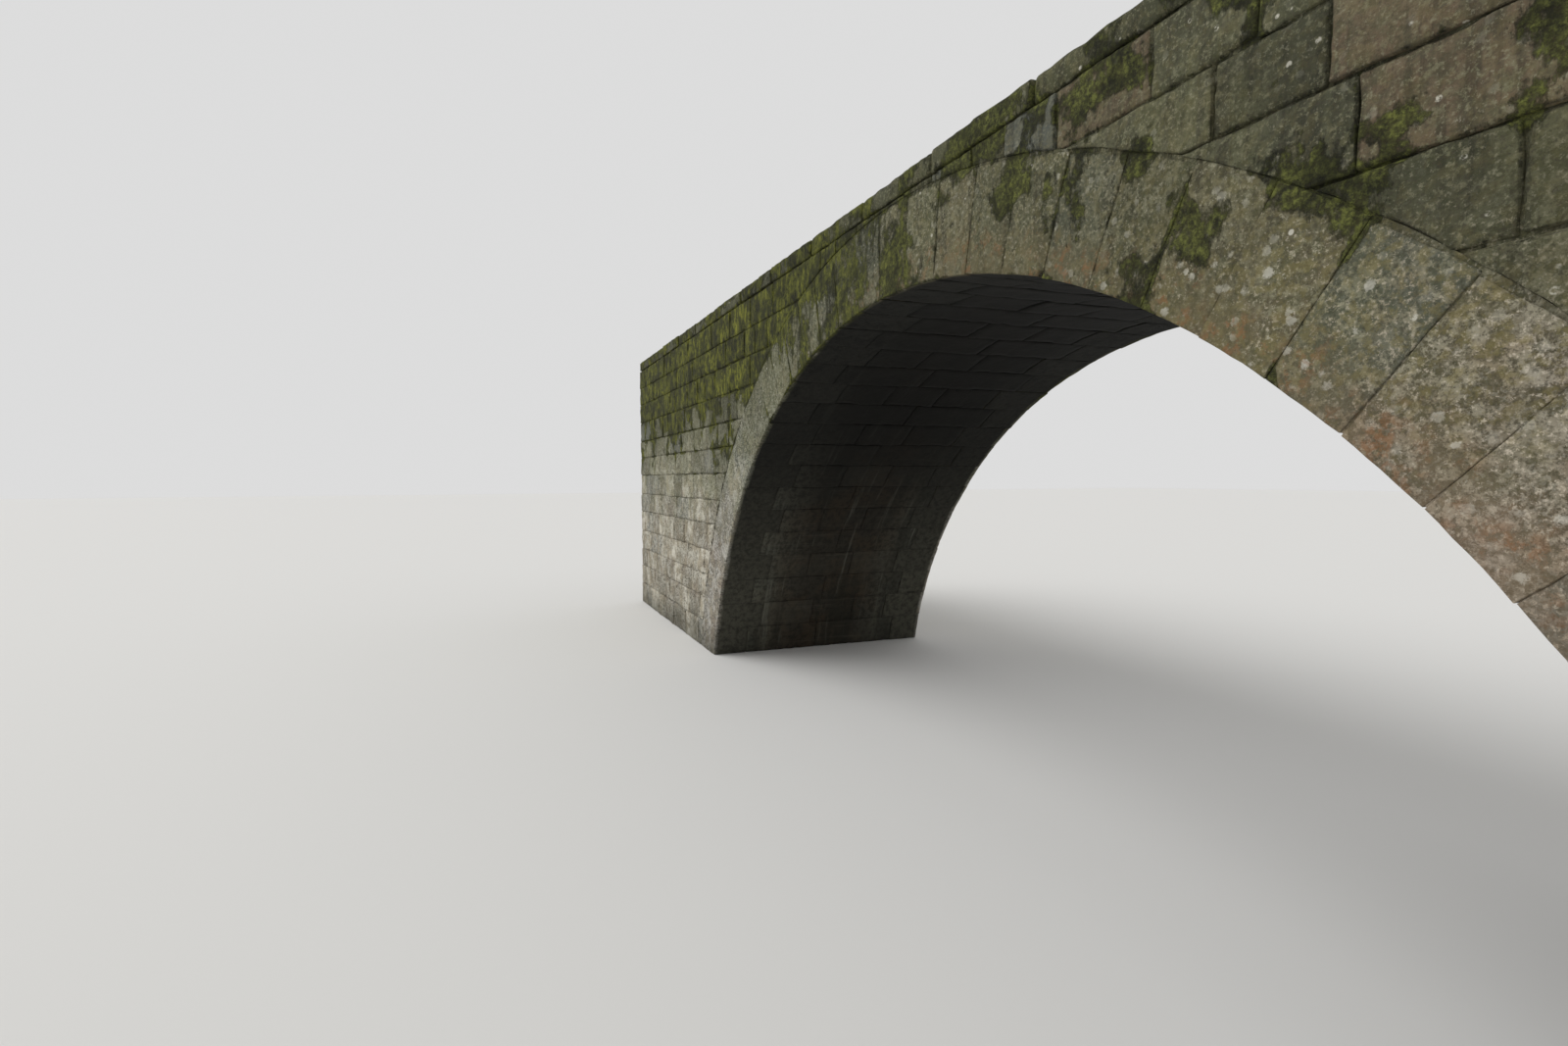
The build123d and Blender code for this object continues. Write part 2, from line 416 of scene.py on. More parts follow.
def weathered_granite(name, left, right, rose, crust_left, crust_right, crusting, moss_start, moss_full,
                      dark=0.0, earth=0.6, grime_and_shade_start=2.8, grime_and_shade_most=0.72, variety=0.2):
    """Granite split and rough-dressed long ago: matt coarse crystals, grey-beige on the left, lighter there
    partly as painted light, and brown-pink on the right, crusted with pale lichen, darkened towards the top by
    grime and painted shade, streaked dark under the kerbs and greened where it stays wet.
    """
    material, add = bare_material(name)
    place = add("TexCoord")["Object"]
    along, _, height = add("SeparateXYZ", (place,))
    tone, edge, soffit, number = (add("Attribute", attribute_name=fact)["Fac"]
                                  for fact in ("tone", "edge", "damp_and_shade", "stone"))

    # Clouds: size of their patches in metres, detail, roughness, squeeze of the height that draws them out
    # upright, and whether every stone has its own
    cloud = {}
    for label, size, detail, roughness, squeeze, own in (
            ("patch", 0.6, 3.0, 0.55, 1.0, False), ("drifts", 0.42, 4.0, 0.55, 1.0, False),
            ("rosy", 0.27, 3.0, 0.55, 1.0, False), ("blotch", 0.15, 5.0, 0.6, 1.0, False),
            ("mottle", 0.055, 6.0, 0.72, 1.0, False), ("flecks", 0.026, 5.0, 0.78, 1.0, False),
            ("specks", 0.013, 3.0, 0.7, 1.0, False), ("runs", 0.07, 5.0, 0.65, 0.07, False),
            ("crust", 0.045, 7.0, 0.76, 1.0, True), ("sheets", 0.22, 6.0, 0.75, 1.0, False),
            ("tint", 0.2, 2.0, 0.55, 1.0, False), ("ochre", 0.05, 5.0, 0.7, 1.0, False),
            ("gaps", 0.1, 4.0, 0.65, 1.0, False), ("earth", 0.3, 3.0, 0.55, 1.0, False),
            ("luck", 0.3, 2.0, 0.55, 1.0, True), ("tufts", 0.05, 8.0, 0.8, 0.5, False),
            ("strands", 0.034, 7.0, 0.76, 0.3, False)):
        where = add("Mapping", {"Vector": place, "Scale": (1.0, 1.0, squeeze)})[0] if squeeze < 1 else place
        inputs = {"Vector": where, "Scale": 1 / size, "Detail": detail, "Roughness": roughness}
        if own:
            inputs["W"] = number
        cloud[label] = add("TexNoise", inputs, noise_dimensions="4D" if own else "3D")[0]

    def share(*parts):
        """How strongly a coat shows: masks and smooth steps (value, low, high, at low, at high), multiplied."""
        product = None
        for part in parts:
            if isinstance(part, tuple):
                part = add("MapRange", part, interpolation_type="SMOOTHSTEP")[0]
            product = part if product is None else add("Math", (product, part), operation="MULTIPLY")[0]
        return product

    def coat(under, *layers):
        """Lays coats over a colour, each by its share. A pair of colours: on the left and on the right."""
        for amount, over in layers:
            if isinstance(over, tuple):
                over = coat(over[0], (side, over[1]))
            if isinstance(amount, list):
                amount = share(*amount)
            under = add("Mix", {0: amount, 6: under, 7: over}, data_type="RGBA")[2]
        return under

    # Base: from grey-beige on the left, lighter partly as painted light, to brown on the right, rosy in drifts,
    # one stone in seven greyer
    turn = add("Math", (cloud["patch"], 3.0, along), operation="MULTIPLY_ADD")[0]
    side = share((turn, -1.6, 3.4))
    greyer = share((tone, 0.34, 0.38), (tone, 0.52, 0.48))
    # Crystals of pale feldspar and black mica, drawn at 9 mm where the real ones are 3 to 8, so that they show
    crystals = add("TexVoronoi", {"Vector": place, "Scale": 1 / 0.009})["Color"]
    crystal = add("SeparateColor", (crystals,))[0]
    colour = coat(left, (side, right),
                  ([(cloud["rosy"], 0.47, 0.7, 0.0, 0.6)], ("#8d7565", rose)),
                  ([greyer, 0.65], "#6c6e6d"),
                  ([(crystal, 0.6, 1.0, 0.0, 0.4)], crust_left),
                  ([(crystal, 0.3, 0.0, 0.0, 0.6)], "#35322a"))
    # Weathered skin: dark mottling, broad drifts, and flecks of 2 cm
    colour = coat(colour,
                  ([(cloud["mottle"], 0.32, 0.60, 0.6, 0.0), (side, 0.0, 1.0, 1.0, 0.75)],
                   ("#4f4a3c", "#4c453c")),
                  ([(cloud["blotch"], 0.5, 0.36, 0.0, 0.4)], "#575345"),
                  ([(cloud["flecks"], 0.49, 0.38, 0.0, 0.8), (side, 0.0, 1.0, 1.0, 0.85)],
                   ("#3c382d", "#443a2f")))
    # Green film towards the top, grime and painted shade that thicken upwards, stones of other colours under
    # them, and dark runs
    film_height = add("Math", (cloud["drifts"], 2.4, height), operation="MULTIPLY_ADD")[0]
    film = share((film_height, 2.3, 4.2, 0.0, 0.7))
    # The stones darken upwards: partly grime, partly painted shade
    grime_and_shade_height = add("Math", (cloud["blotch"], 1.2, height), operation="MULTIPLY_ADD")[0]
    grime_and_shade = share((grime_and_shade_height, grime_and_shade_start, 3.9, 0.0, grime_and_shade_most))
    browner = share((tone, 0.58, 0.62), (tone, 0.84, 0.80), side, (cloud["mottle"], 0.36, 0.6, 0.35, 1.0))
    colour = coat(colour,
                  (film, "#525837"),
                  (grime_and_shade, coat("#37382b", ([(cloud["patch"], 0.42, 0.58)], "#474731"))),
                  ([browner, variety], "#6e5a49"),
                  ([greyer, variety], "#5d615f"),
                  ([(cloud["runs"], 0.48, 0.62), (height, moss_start - 1.0, moss_full, 0.0, 0.6)], "#2b2a20"))
    # Lichen: pale crusts from a fingernail to a hand across, some yellowish, some pink, and a few white dots
    free_of_grime_and_shade = add("Math", (1.0, grime_and_shade), operation="SUBTRACT")[0]
    unfilmed = add("Math", (1.0, film), operation="SUBTRACT")[0]
    less_grime_and_shade = share((grime_and_shade, 0.0, 0.72, 1.0, 0.5))
    crusts = add("Math", (cloud["flecks"], 0.3, cloud["crust"]), operation="MULTIPLY_ADD")[0]
    crust = share((crusts, 0.70 - crusting * 0.12, 0.77 - crusting * 0.1),
                  (cloud["patch"], 0.35, 0.6, 0.4, 1.0), free_of_grime_and_shade)
    sheets = add("Math", (side, -0.07, cloud["sheets"]), operation="MULTIPLY_ADD")[0]
    sheets = add("Math", (sheets, share((tone, 0.0, 1.0, -0.04, 0.04))), operation="ADD")[0]
    dots = add("TexVoronoi", {"Vector": place, "Scale": 1 / 0.11})["Distance"]
    pale = coat(crust_left, (side, crust_right),
                ([(cloud["tint"], 0.42, 0.6)], ("#a9a08c", "#a18b7d")),
                (film, "#777b57"),
                ([grime_and_shade, 0.6], "#64644d"))
    colour = coat(colour,
                  ([crust, 0.8], pale),
                  ([(cloud["flecks"], 0.53, 0.60, 0.0, 0.8), less_grime_and_shade], pale),
                  ([(sheets, 0.49, 0.60, 0.0, 0.65), unfilmed], pale),
                  ([(cloud["specks"], 0.45, 0.36, 0.0, 0.5)], "#454035"),
                  ([(cloud["specks"], 0.57, 0.66, 0.0, 0.6), less_grime_and_shade],
                   coat("#d4d0c3", (side, "#c8bdab"), (grime_and_shade, "#6f6e58"))),
                  ([(dots, 0.12, 0.08), (cloud["mottle"], 0.48, 0.56), 0.85], "#c4c1b3"))
    # Ochre crusts, and white lichen discs of 2 to 4 cm in loose clusters, both on the right
    discs = add("TexVoronoi", {"Vector": place, "Scale": 1 / 0.085})["Distance"]
    discs = add("Math", (discs, share((cloud["flecks"], 0.3, 0.7, 0.08, -0.08))), operation="ADD")[0]
    bare = share(side, (grime_and_shade, 0.1, 0.6, 1.0, 0.25))
    colour = coat(colour,
                  ([(cloud["ochre"], 0.48, 0.6, 0.0, 0.45), (height, 2.0, 2.5), bare], "#7f7548"),
                  ([(discs, 0.25, 0.16), bare, (cloud["drifts"], 0.44, 0.56, 0.15, 0.9)],
                   coat("#c9c6ba", (grime_and_shade, "#8c8b76"))))
    # Algae along the arris of the arch: ochre towards the crown, brown-pink lower down, orange in spots
    rise = add("Math", (height, centre_drop), operation="ADD")[0]
    from_centre = add("CombineXYZ", {0: along, 2: rise})[0]
    radius = add("VectorMath", (from_centre,), operation="LENGTH")["Value"]
    algae = share((radius, arch_radius + 0.06, arch_radius + 0.30, 0.6, 0.0), side)
    colour = coat(colour,
                  ([algae, (cloud["blotch"], 0.36, 0.56, 0.2, 0.8)],
                   coat("#84745f", ([(height, 2.05, 2.6)], "#6a6145"))),
                  ([algae, (cloud["tint"], 0.42, 0.6, 0.1, 0.9), (cloud["mottle"], 0.50, 0.60)], "#855c3a"))
    # Mortar washed out in places along the back of the ring, more so on the left, and a dark green foot
    off_back = add("Math", (radius, outer_radius), operation="SUBTRACT")[0]
    off_back = add("Math", (off_back,), operation="ABSOLUTE")[0]
    stain = add("Math", (cloud["patch"], 0.5, height), operation="MULTIPLY_ADD")[0]
    colour = coat(colour,
                  ([(off_back, 0.006, 0.034, 1.0, 0.0), (side, 0.0, 1.0, 0.85, 0.2),
                    (cloud["gaps"], 0.47, 0.55)], "#2b2922"),
                  ([(stain, 0.3, 0.72, 0.6, 0.0)], "#3b3c31"))
    # Moss: a yellow-green nap of clumps along the wet top, and lower down in the joints
    by_joint = share((edge, 0.0, 0.024, 0.35, 0.0))
    wet = add("Math", (height, share((cloud["drifts"], 0.3, 0.7, -0.45, 0.45))), operation="ADD")[0]
    wet = add("Math", (wet, by_joint), operation="ADD")[0]
    patchy = add("Math", (share((cloud["drifts"], 0.5, 0.64)), by_joint), operation="ADD")[0]
    bald = add("Math", (1.0, patchy), operation="SUBTRACT")[0]
    cover = add("Math", (1.0, share(side, bald)), operation="SUBTRACT")[0]
    luck = share((cloud["luck"], 0.35, 0.65, 0.46, 0.56))
    luck = add("Math", (side, -0.11, luck), operation="MULTIPLY_ADD")[0]
    growth = add("Math", (cloud["tufts"], share((wet, moss_start, moss_full), cover, luck)), operation="ADD")[0]
    moss = share((growth, 0.66, 0.80))
    strands = coat(cloud["strands"], (side, cloud["flecks"]))
    # The nap's own yellow-green and brown, with painted highlight on the strands and painted shade between the
    # clumps
    nap = coat("#26280f",
               ([(cloud["blotch"], 0.38, 0.6)], ("#464a13", "#484a25")),
               ([(strands, 0.44, 0.64, 0.0, 0.9), (cloud["blotch"], 0.42, 0.58, 0.25, 1.0)],
                ("#7f7f2a", "#757a3a")),
               ([(strands, 0.49, 0.36, 0.0, 0.6)], "#2a2413"),
               ([(cloud["mottle"], 0.49, 0.39, 0.0, 0.75)], "#15160a"))
    # Joints: flush and pale in places, dark and earthy in others. Undersides of the ring are damp and painted
    # shade, near black towards the crown, as dark as the barrel
    colour = coat(colour,
                  ([moss, 0.95], nap),
                  ([(edge, 0.0, 0.010, 1.0, 0.0), (cloud["earth"], 0.46, 0.64, 0.0, earth),
                    (side, 0.0, 1.0, 0.4, 1.0), (moss, 0.0, 1.0, 1.0, 0.25)], "#36332a"),
                  (soffit, coat("#32312a", ([(cloud["mottle"], 0.35, 0.6)], "#4b4a40"),
                                ([(height, 0.6, 2.6, 0.0, 0.85)], "#0c0c0a"))))
    # Each stone a little lighter or darker
    shade = share((tone, 0.0, 1.0, 0.9 - dark, 1.1 + dark))
    light = add("CombineXYZ", (shade, shade, shade))[0]
    colour = add("Mix", {0: 1.0, 6: colour, 7: light}, data_type="RGBA", blend_type="MULTIPLY")[2]

    # Relief in metres
    relief = 0.0
    for source, depth in ((cloud["mottle"], 0.010), (cloud["flecks"], 0.005), (crust, 0.0015),
                          (share(moss, strands), 0.02)):
        relief = add("Math", (source, depth, relief), operation="MULTIPLY_ADD")[0]
    matt_surface(add, colour, relief, strength=0.9, distance=1.0, roughness=0.92, gloss=0.25)
    return material


def damp_and_shaded_barrel_granite():
    """Granite that never dries or sees the sun: dark, algae-brown and smooth to the eye, with pale runs of lime
    out of the joints and faint level lines. Part of its dark is painted shade, near black towards the crown,
    and the lighter band towards both faces is painted light.
    """
    material, add = bare_material("damp_and_shaded_barrel_granite")
    place = add("TexCoord")["Object"]
    tone = add("Attribute", attribute_name="tone")["Fac"]
    _, across, height = add("SeparateXYZ", (place,))
    off_middle = add("Math", (across,), operation="ABSOLUTE")[0]
    clouds = []
    for size, detail, squeeze in ((0.06, 9.0, (1.0, 1.0, 1.0)), (0.5, 3.0, (1.0, 1.0, 1.0)),
                                  (0.4, 3.0, (0.1, 1.0, 0.1)), (0.10, 5.0, (0.08, 1.0, 0.05)),
                                  (0.5, 5.0, (0.4, 0.4, 14.0))):
        where = add("Mapping", {"Vector": place, "Scale": squeeze})[0]
        inputs = {"Vector": where, "Scale": 1 / size, "Detail": detail, "Roughness": 0.68}
        clouds.append(add("TexNoise", inputs)[0])
    mottle, algae, streaks, lime, levels = clouds
    colour = "#302d26"
    # The dark base is partly painted shade; lighter towards both faces is painted light; near black towards the
    # crown is painted shade
    for over, source, low, high, most in (
            ("#3a3125", algae, 0.42, 0.6, 0.8), ("#616257", off_middle, 0.3, 1.35, 0.85),
            ("#1d1b16", mottle, 0.56, 0.4, 0.65), ("#4a473e", tone, 0.4, 1.0, 0.3),
            ("#22221c", streaks, 0.46, 0.6, 0.6), ("#6a6a60", lime, 0.55, 0.72, 0.6),
            ("#5b574d", levels, 0.56, 0.66, 0.18), ("#0a0a08", height, 0.9, 2.9, 0.92)):
        share = add("MapRange", (source, low, high, 0.0, most), interpolation_type="SMOOTHSTEP")[0]
        colour = add("Mix", {0: share, 6: colour, 7: over}, data_type="RGBA")[2]
    matt_surface(add, colour, mottle, strength=0.5, distance=0.012, roughness=0.85, gloss=0.2)
    return material


def plain_earthy(name, dark, light, size, stones=0.0):
    """Matt earthy filler: mortar, or rubble of fist to head size packed in earth, crumbly and uneven."""
    material, add = bare_material(name)
    place = add("TexCoord")["Object"]
    cloud = add("TexNoise", {"Vector": place, "Scale": 1 / size, "Detail": 6.0, "Roughness": 0.65})[0]
    share = add("MapRange", (cloud, 0.35, 0.65))[0]
    colour = add("Mix", {0: share, 6: dark, 7: light}, data_type="RGBA")[2]
    height = cloud
    if stones:
        cells = add("TexVoronoi", {"Vector": place, "Scale": 1 / stones})["Color"]
        tint = add("SeparateColor", (cells,))[0]
        rim = add("TexVoronoi", {"Vector": place, "Scale": 1 / stones}, feature="DISTANCE_TO_EDGE")["Distance"]
        inside = add("MapRange", (rim, 0.01, 0.08))[0]
        tint = add("MapRange", (tint, 0.0, 1.0, 0.0, 0.6))[0]
        stone = add("Mix", {0: tint, 6: colour, 7: "#7b7464"}, data_type="RGBA")[2]
        colour = add("Mix", {0: inside, 6: "#35312a", 7: stone}, data_type="RGBA")[2]
        height = add("Math", (inside, cloud), operation="ADD")[0]
    matt_surface(add, colour, height, strength=0.6, distance=0.01, roughness=0.95, gloss=0.2)
    return material


# Walls: darkened by grime and painted shade and mossed from about half their height, with stones of several
# colours
wall_granite = weathered_granite("lichened_wall_granite", left="#7c7767", right="#665c50", rose="#7b6758",
                                 crust_left="#cbc7b9", crust_right="#aaa18f", crusting=0.9, moss_start=2.55,
                                 moss_full=3.0, dark=0.07, grime_and_shade_start=2.35, variety=0.6)
# Rings: paler and cleaner, with tight joints
ring_granite = weathered_granite("lichened_ring_granite", left="#87837b", right="#6c6055", rose="#876c61",
                                 crust_left="#cdcac1", crust_right="#b4a89d", crusting=0.75, moss_start=2.85,
                                 moss_full=3.7, earth=0.2, grime_and_shade_most=0.45)
# Kerbs: dark, with moss in their joints
kerb_granite = weathered_granite("mossed_kerb_granite", left="#77746a", right="#6c634f", rose="#6c5e4e",
                                 crust_left="#98958a", crust_right="#8f8871", crusting=0.5, moss_start=3.5,
                                 moss_full=4.3)
# Deck: trodden, with little lichen or moss
deck_granite = weathered_granite("trodden_deck_granite", left="#7d7970", right="#726955", rose="#736455",
                                 crust_left="#99958a", crust_right="#918a73", crusting=0.3, moss_start=4.0,
                                 moss_full=5.2)
barrel_granite = damp_and_shaded_barrel_granite()
lime_mortar = plain_earthy("earthy_lime_mortar", "#34312a", "#5a5547", size=0.03)
rubble = plain_earthy("packed_rubble", "#4a4539", "#645c4c", size=0.06, stones=0.17)
rough_dressing = dressing_tree()


# Arch rings

def bed_angle(index, radius):
    """Angle of a bed joint at a radius. The first and last beds lie level on the base."""
    if index == 0:
        return np.arcsin(centre_drop / radius)
    if index == ring_count:
        return math.pi - np.arcsin(centre_drop / radius)
    return springing + index * bed_turn


def between_beds(index, radius, share):
    """Angle at a share of the way between the beds of an arch stone. Only the level beds have no joint."""
    slit = ring_joint / 2 / radius
    low = bed_angle(index, radius) + (slit if index > 0 else 0)
    high = bed_angle(index + 1, radius) - (slit if index < ring_count - 1 else 0)
    return low + share * (high - low)


def arch_point(radius, y, angle):
    """Points round the arch's centre."""
    return radius * np.cos(angle), y, radius * np.sin(angle) - centre_drop


def bite(index):
    """How far a ring stone reaches into the barrel."""
    return long_bite if (index - key_index) % 2 == 0 else short_bite


def ring(side, label, indices, nodes):
    """Voussoirs of one stretch of one ring."""
    work = Stonework(seed=5 + side + sum(indices) % 97)
    for index in indices:
        depth = bite(index)
        back = work.dice.uniform(0.0, back_short)
        backs = (back, max(0.0, back + work.dice.uniform(-back_skew, back_skew)))

        def place(a, b, c):
            radius = arch_radius + b * (ring_depth - backs[0] * (1 - a) - backs[1] * a)
            return arch_point(radius, side * (half_width - c * depth), between_beds(index, radius, a))
        work.lay(place, (arch_radius * bed_turn, ring_depth, depth), fine=ring_cell, depth_cells=12,
                 arris=(0.002, 0.0045), slack=0.003, soffit=True, proud=0.002, tilt=0.002)
    settle(dress(work.build(label), ring_granite, ring_dressing), "ring_granite", *nodes)


right_stones = list(range(key_index))
left_stones = list(range(key_index + 1, ring_count))
for side, face in both_faces:
    for half, stones in (("right", right_stones), ("left", left_stones)):
        ring(side, f"{face}_voussoirs_{half}", stones,
             [f"{face}_ring_{half}_long_stones", f"{face}_ring_{half}_short_stones"])
    ring(side, f"{face}_keystone_block", [key_index], [f"{face}_keystone"])


# Barrel

def barrel(label, indices, nodes, seed):
    """Stones of the barrel: each course is broken at cross joints that miss those of its neighbours."""
    work = Stonework(seed)
    for index in indices:
        reach = half_width - bite(index) - joint
        pieces = 3 if index % 2 else 2
        shift = work.dice.uniform(-barrel_shift, barrel_shift)
        cuts = [-reach, *(-reach + 2 * reach * (i + 1) / pieces + shift for i in range(pieces - 1)), reach]
        for start, stop in zip(cuts, cuts[1:]):
            low = start + (joint / 2 if start > -reach else 0)
            high = stop - (joint / 2 if stop < reach else 0)

            def place(a, b, c):
                radius = arch_radius + c * barrel_stone_depth
                return arch_point(radius, low + b * (high - low), between_beds(index, radius, a))
            work.lay(place, (arch_radius * bed_turn, high - low, barrel_stone_depth), fine=barrel_cell,
                     arris=(0.005, 0.011), slack=0.003)
    settle(dress(work.build(label), barrel_granite, barrel_dressing), "barrel_granite", *nodes)


for half, stones, seed in (("right", right_stones, 51), ("left", left_stones, 52)):
    barrel(f"barrel_stones_{half}", stones,
           [f"barrel_{half}_long_courses", f"barrel_{half}_short_courses"], seed)
barrel("barrel_stones_crown", [key_index], ["barrel_key_course"], 53)


def arc_outline(inner, outer):
    """Closed outline between two circles round the arch's centre, cut off level just above the base."""
    points = []
    for radius, way in ((inner, 1), (outer, -1)):
        low = math.asin((centre_drop + bed_lift) / radius)
        turns = np.linspace(low, math.pi - low, arc_steps)[::way]
        points += [(radius * math.cos(turn), radius * math.sin(turn) - centre_drop) for turn in turns]
    return points


barrel_reach = half_width - bed_recess - barrel_bed_setback
mortar_bed("barrel_mortar", arc_outline(arch_radius + bed_recess, outer_radius), (-barrel_reach, barrel_reach),
           barrel_granite, "barrel_granite")
for side, face in both_faces:
    mortar_bed(f"{face}_ring_mortar", arc_outline(arch_radius + ring_bed_rise, outer_radius + ring_bed_over),
               (side * (half_width - ring_bed_recess), side * (barrel_reach - bed_overlap)),
               ring_granite, "ring_granite")


# Face walls

# Heights of the bed joints: 2.52 and 2.80 m are read off the photograph, the rest run on from them
wall_lines = [0.0, 0.34, 0.66, 0.95, 1.27, 1.60, 1.90, 2.22, 2.52, 2.80, 3.12, 3.43, 3.71, wall_top]


def courses():
    """Number, foot and head of the stones of each course."""
    for course, (bottom, top) in enumerate(zip(wall_lines, wall_lines[1:])):
        yield course, bottom + (joint / 2 if course else 0), top - joint / 2


def break_up(dice, start, stop, lengths, last_length, below):
    """Cross joints of one course, kept off those of the course below."""
    shortest, longest = lengths
    cuts = [start]
    while stop - last_length - cuts[-1] > longest:
        for _ in range(8):
            cut = cuts[-1] + dice.uniform(shortest, longest)
            if all(abs(cut - other) > stagger for other in below):
                break
        cuts.append(cut)
    if stop - last_length - cuts[-1] < shortest * 0.6 and len(cuts) > 1:
        cuts.pop()
    return cuts + [stop - last_length, stop]


def wall_place(hand, side, low, high, bottom, top, follow=None, depth=stone_depth):
    """Where a face stone lies. A stone against the ring follows the ring's back by its side or its foot."""
    def place(a, b, c):
        z = bottom + b * (top - bottom)
        if follow == "side":
            first = np.maximum(back_x(z) + joint, low)
            x = first + a * (high - first)
        else:
            x = low + a * (high - low)
        if follow == "foot":
            foot = np.maximum(back_z(x) + joint, bottom)
            z = foot + b * (top - foot)
        return hand * x, side * (half_width - c * depth), z
    return place


def face_wall(side, face, hand):
    """Coursed stones of one half of one face, from the ring out to the quoins, which turn the corner."""
    work = Stonework(layout_seeds[face, hand])
    below = []
    for course, low_z, high_z in courses():
        def block(left, right, follow=None, depth=stone_depth, **facts):
            work.lay(wall_place(hand, side, left, right, low_z, high_z, follow, depth),
                     (right - left, high_z - low_z, depth), **facts)

        over_ring = course == len(wall_lines) - 2
        start = levelling_end if over_ring else float(back_x(wall_lines[course])) + ring_side_least
        cuts = break_up(work.dice, start, half_length, wall_lengths, quoin_lengths[course % 2], below)
        below = cuts
        for low, high in zip(cuts[:-2], cuts[1:-1]):
            block(low + joint / 2, high - joint / 2, "foot" if over_ring and low < back_x(low_z) else None)
        if not over_ring:
            block(float(back_x(high_z)) + joint, start - joint / 2, "side")
        depth = quoin_returns[course % 2]
        block(cuts[-2] + joint / 2, half_length, None, depth, depth_cells=round(depth / coarse_cell))
    return work


def levelling(side):
    """Thin stones over the crown, packed between the ring's back and the kerb."""
    work = Stonework(61 + side)
    bottom, top = wall_lines[-2] + joint / 2, wall_lines[-1] - joint / 2
    cuts = break_up(work.dice, -levelling_end, levelling_end, levelling_lengths, last_levelling_stone, [])
    for low, high in zip(cuts, cuts[1:]):
        work.lay(wall_place(1, side, low + joint / 2, high - joint / 2, bottom, top, "foot"),
                 (high - low, levelling_height, stone_depth), arris=(0.004, 0.008), slack=0.002)
    return work


for side, face in both_faces:
    for hand, half in both_halves:
        piece = dress(face_wall(side, face, hand).build(f"{face}_wall_stones_{half}"), wall_granite)
        settle(piece, "wall_granite", f"{face}_spandrel_{half}", f"{face}_wing_wall_{half}")
        backs = [(float(back_x(z)), z) for z in np.linspace(bed_lift, float(back_z(levelling_end)), back_steps)]
        outline = [*backs, (levelling_end, bed_top), (half_length - bed_recess, bed_top),
                   (half_length - bed_recess, bed_lift)]
        mortar_bed(f"{face}_wall_mortar_{half}", [(hand * x, z) for x, z in outline],
                   (side * (half_width - bed_depth), side * (half_width - bed_recess)),
                   wall_granite, "wall_granite")

for side, face in both_faces:
    piece = dress(levelling(side).build(f"{face}_levelling_stones"), wall_granite, levelling_dressing)
    settle(piece, "wall_granite", "levelling_course")

crown_backs = [(float(x), float(back_z(x))) for x in np.linspace(-levelling_end, levelling_end, crown_steps)]
mortar_bed("crown_mortar", [*crown_backs, (levelling_end, bed_top), (-levelling_end, bed_top)],
           (bed_recess - half_width, half_width - bed_recess), wall_granite, "wall_granite")


# End walls, between the quoins of the faces

def end_wall(hand, half):
    """Coursed stones across one end of the bridge."""
    work = Stonework(71 + hand)
    below = []
    for course, low_z, high_z in courses():
        reach = half_width - quoin_returns[course % 2] - joint / 2
        cuts = break_up(work.dice, -reach, reach, end_lengths, last_end_stone, below)
        below = cuts
        for low, high in zip(cuts, cuts[1:]):
            def place(a, b, c):
                y = low + joint / 2 + a * (high - low - joint)
                return hand * (half_length - c * stone_depth), y, low_z + b * (high_z - low_z)
            work.lay(place, (high - low, high_z - low_z, stone_depth), fine=coarse_cell)
    settle(dress(work.build(f"end_wall_stones_{half}"), wall_granite), "wall_granite", f"end_wall_{half}")
    low_x, high_x = sorted((hand * (half_length - bed_recess), hand * (half_length - bed_depth)))
    mortar_bed(f"end_wall_mortar_{half}", upright_box(low_x, high_x, bed_lift, bed_top),
               (bed_depth - half_width, half_width - bed_depth), wall_granite, "wall_granite")


for hand, half in both_halves:
    end_wall(hand, half)


# Kerbs and deck

kerb_pitch = 2 * half_length / kerb_count
kerb_height = kerb_top - wall_top
for side, face in both_faces:
    work = Stonework(81 + side)
    for number in range(kerb_count):
        low = -half_length + number * kerb_pitch + kerb_joint / 2
        high = low + kerb_pitch - kerb_joint

        def place(a, b, c):
            return low + a * (high - low), side * (half_width - b * kerb_width), kerb_top - c * kerb_height
        work.lay(place, (high - low, kerb_width, kerb_height), fine=kerb_cell, depth_cells=4,
                 arris=(0.014, 0.03), slack=0.008, proud=0.0)
    piece = dress(work.build(f"{face}_kerb_stones"), kerb_granite, kerb_dressing)
    settle(piece, "kerb_granite", f"{face}_kerb")
    kerb_bed = upright_box(kerb_bed_inset - half_length, half_length - kerb_bed_inset, wall_top,
                           kerb_top - kerb_bed_drop)
    mortar_bed(f"{face}_kerb_mortar", kerb_bed,
               (side * (half_width - kerb_bed_inset), side * (half_width - kerb_width + kerb_bed_inset)),
               kerb_granite, "kerb_granite")


def deck(label, start, stop, node, seed):
    """Flags in rows across the deck."""
    work = Stonework(seed)
    reach = half_width - kerb_width - flag_edge
    rows = max(1, round((stop - start) / flag_row))
    pitch = (stop - start) / rows
    below = []
    for row in range(rows):
        low_x = start + row * pitch + joint / 2
        high_x = start + (row + 1) * pitch - joint / 2
        cuts = break_up(work.dice, -reach, reach, flag_lengths, last_flags[row % 2], below)
        below = cuts
        for low, high in zip(cuts, cuts[1:]):
            def place(a, b, c):
                y = low + joint / 2 + b * (high - low - joint)
                return low_x + a * (high_x - low_x), y, deck_top - flag_drop - c * flag_depth
            work.lay(place, (high_x - low_x, high - low, flag_depth), fine=coarse_cell)
    settle(dress(work.build(label), deck_granite, flag_dressing), "deck_flags", node)
    mortar_bed(f"{label}_bed", upright_box(start, stop, wall_top, deck_top - flag_bed_drop),
               (-reach - flag_edge, reach + flag_edge), lime_mortar, "deck_flags")


for node, seed in (("deck_left", 91), ("deck_crown", 92), ("deck_right", 93)):
    low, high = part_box(node)
    deck(f"{node}_flags", low.x, high.x, node, seed)

# Hearting and cores stay as built, in their rubble
for name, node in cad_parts.items():
    if "hearting" in name or "core" in name:
        for place in node.material_slots:
            place.material = rubble


# Floor, light and camera

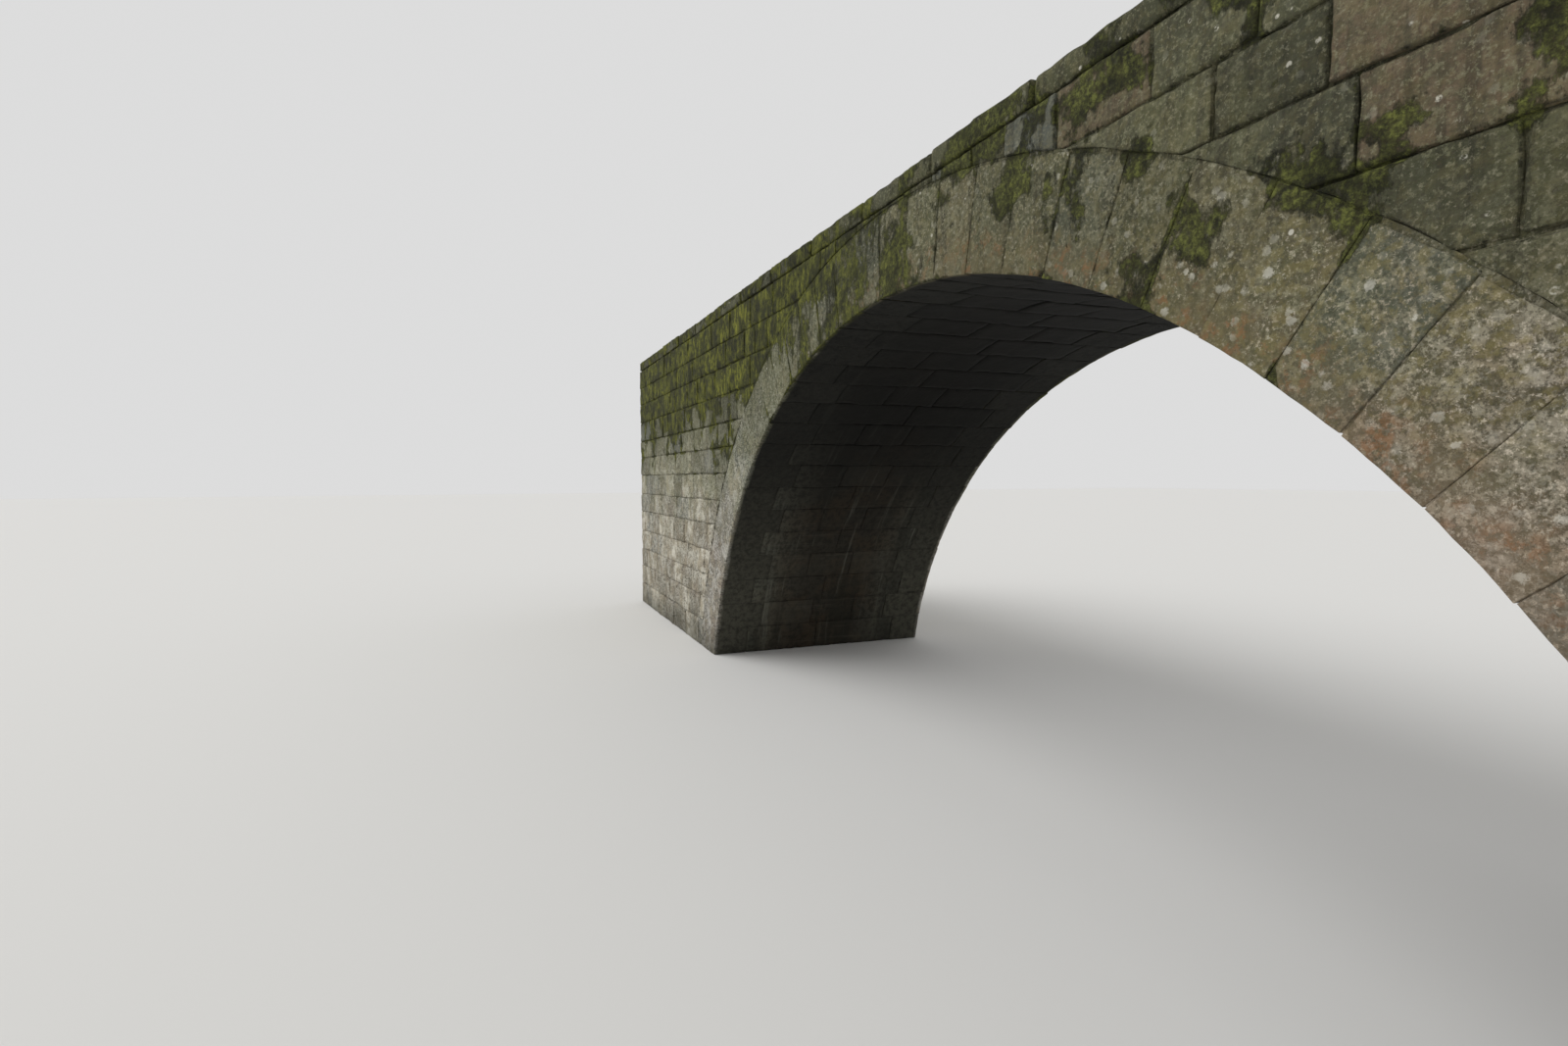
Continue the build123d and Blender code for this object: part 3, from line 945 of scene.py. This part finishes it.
def studio():
    """Pale floor, soft even light, and a camera where the photograph was taken from."""
    mesh = bpy.data.meshes.new("studio_floor")
    reach, drop = 120.0, 0.002
    corners = [(-reach, -reach), (reach, -reach), (reach, reach), (-reach, reach)]
    mesh.from_pydata([(x, y, -drop) for x, y in corners], [], [(0, 1, 2, 3)])
    floor = bpy.data.objects.new("studio_floor", mesh)
    bpy.context.scene.collection.objects.link(floor)
    pale = bpy.data.materials.new("pale_floor")
    pale.use_nodes = True
    pale.node_tree.nodes["Principled BSDF"].inputs["Base Color"].default_value = linear("#dcdbd8")
    pale.node_tree.nodes["Principled BSDF"].inputs["Roughness"].default_value = 0.9
    mesh.materials.append(pale)
    floor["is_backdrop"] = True

    world = bpy.data.worlds.new("studio")
    bpy.context.scene.world = world
    world.use_nodes = True
    world.node_tree.nodes.clear()
    add = partial(add_node, world.node_tree)
    rays = add("LightPath")
    seen = add("Math", (rays["Is Camera Ray"], rays["Is Glossy Ray"]), operation="MAXIMUM")[0]
    seen = add("Math", (seen, rays["Is Transmission Ray"]), operation="MAXIMUM")[0]
    level = add("MapRange", (seen, 0.0, 1.0, 0.62, 0.72))[0]
    light = add("Background", {"Color": "#ffffff", "Strength": level})[0]
    add("OutputWorld", {"Surface": light})

    key = bpy.data.lights.new("soft_key", "SUN")
    key.energy = 1.5
    key.angle = math.radians(50)
    lamp = bpy.data.objects.new("soft_key", key)
    lamp.rotation_euler = Vector((0.35, 0.75, -0.9)).to_track_quat("-Z", "Y").to_euler()
    bpy.context.scene.collection.objects.link(lamp)

    # Camera: found from both edges of the barrel in the photograph, 1600 by 1067 pixels
    yaw, pitch, roll = (math.radians(angle) for angle in (21.08, -3.24, -0.21))
    forward = Vector((-math.cos(yaw) * math.cos(pitch), math.sin(yaw) * math.cos(pitch), math.sin(pitch)))
    right = forward.cross(Vector((0, 0, 1))).normalized()
    up = right.cross(forward)
    level_right = right * math.cos(roll) + up * math.sin(roll)
    level_up = -right * math.sin(roll) + up * math.cos(roll)
    camera = bpy.data.cameras.new("camera")
    camera.sensor_width = 36
    camera.lens = 18
    camera.clip_start, camera.clip_end = 0.05, 500
    stand = bpy.data.objects.new("camera", camera)
    turn = Matrix((level_right, level_up, -forward)).transposed().to_4x4()
    stand.matrix_world = Matrix.Translation((4.744, -4.028, 2.155)) @ turn
    bpy.context.scene.collection.objects.link(stand)
    bpy.context.scene.camera = stand
    bpy.context.scene.view_settings.view_transform = "Standard"


studio()

low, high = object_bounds()
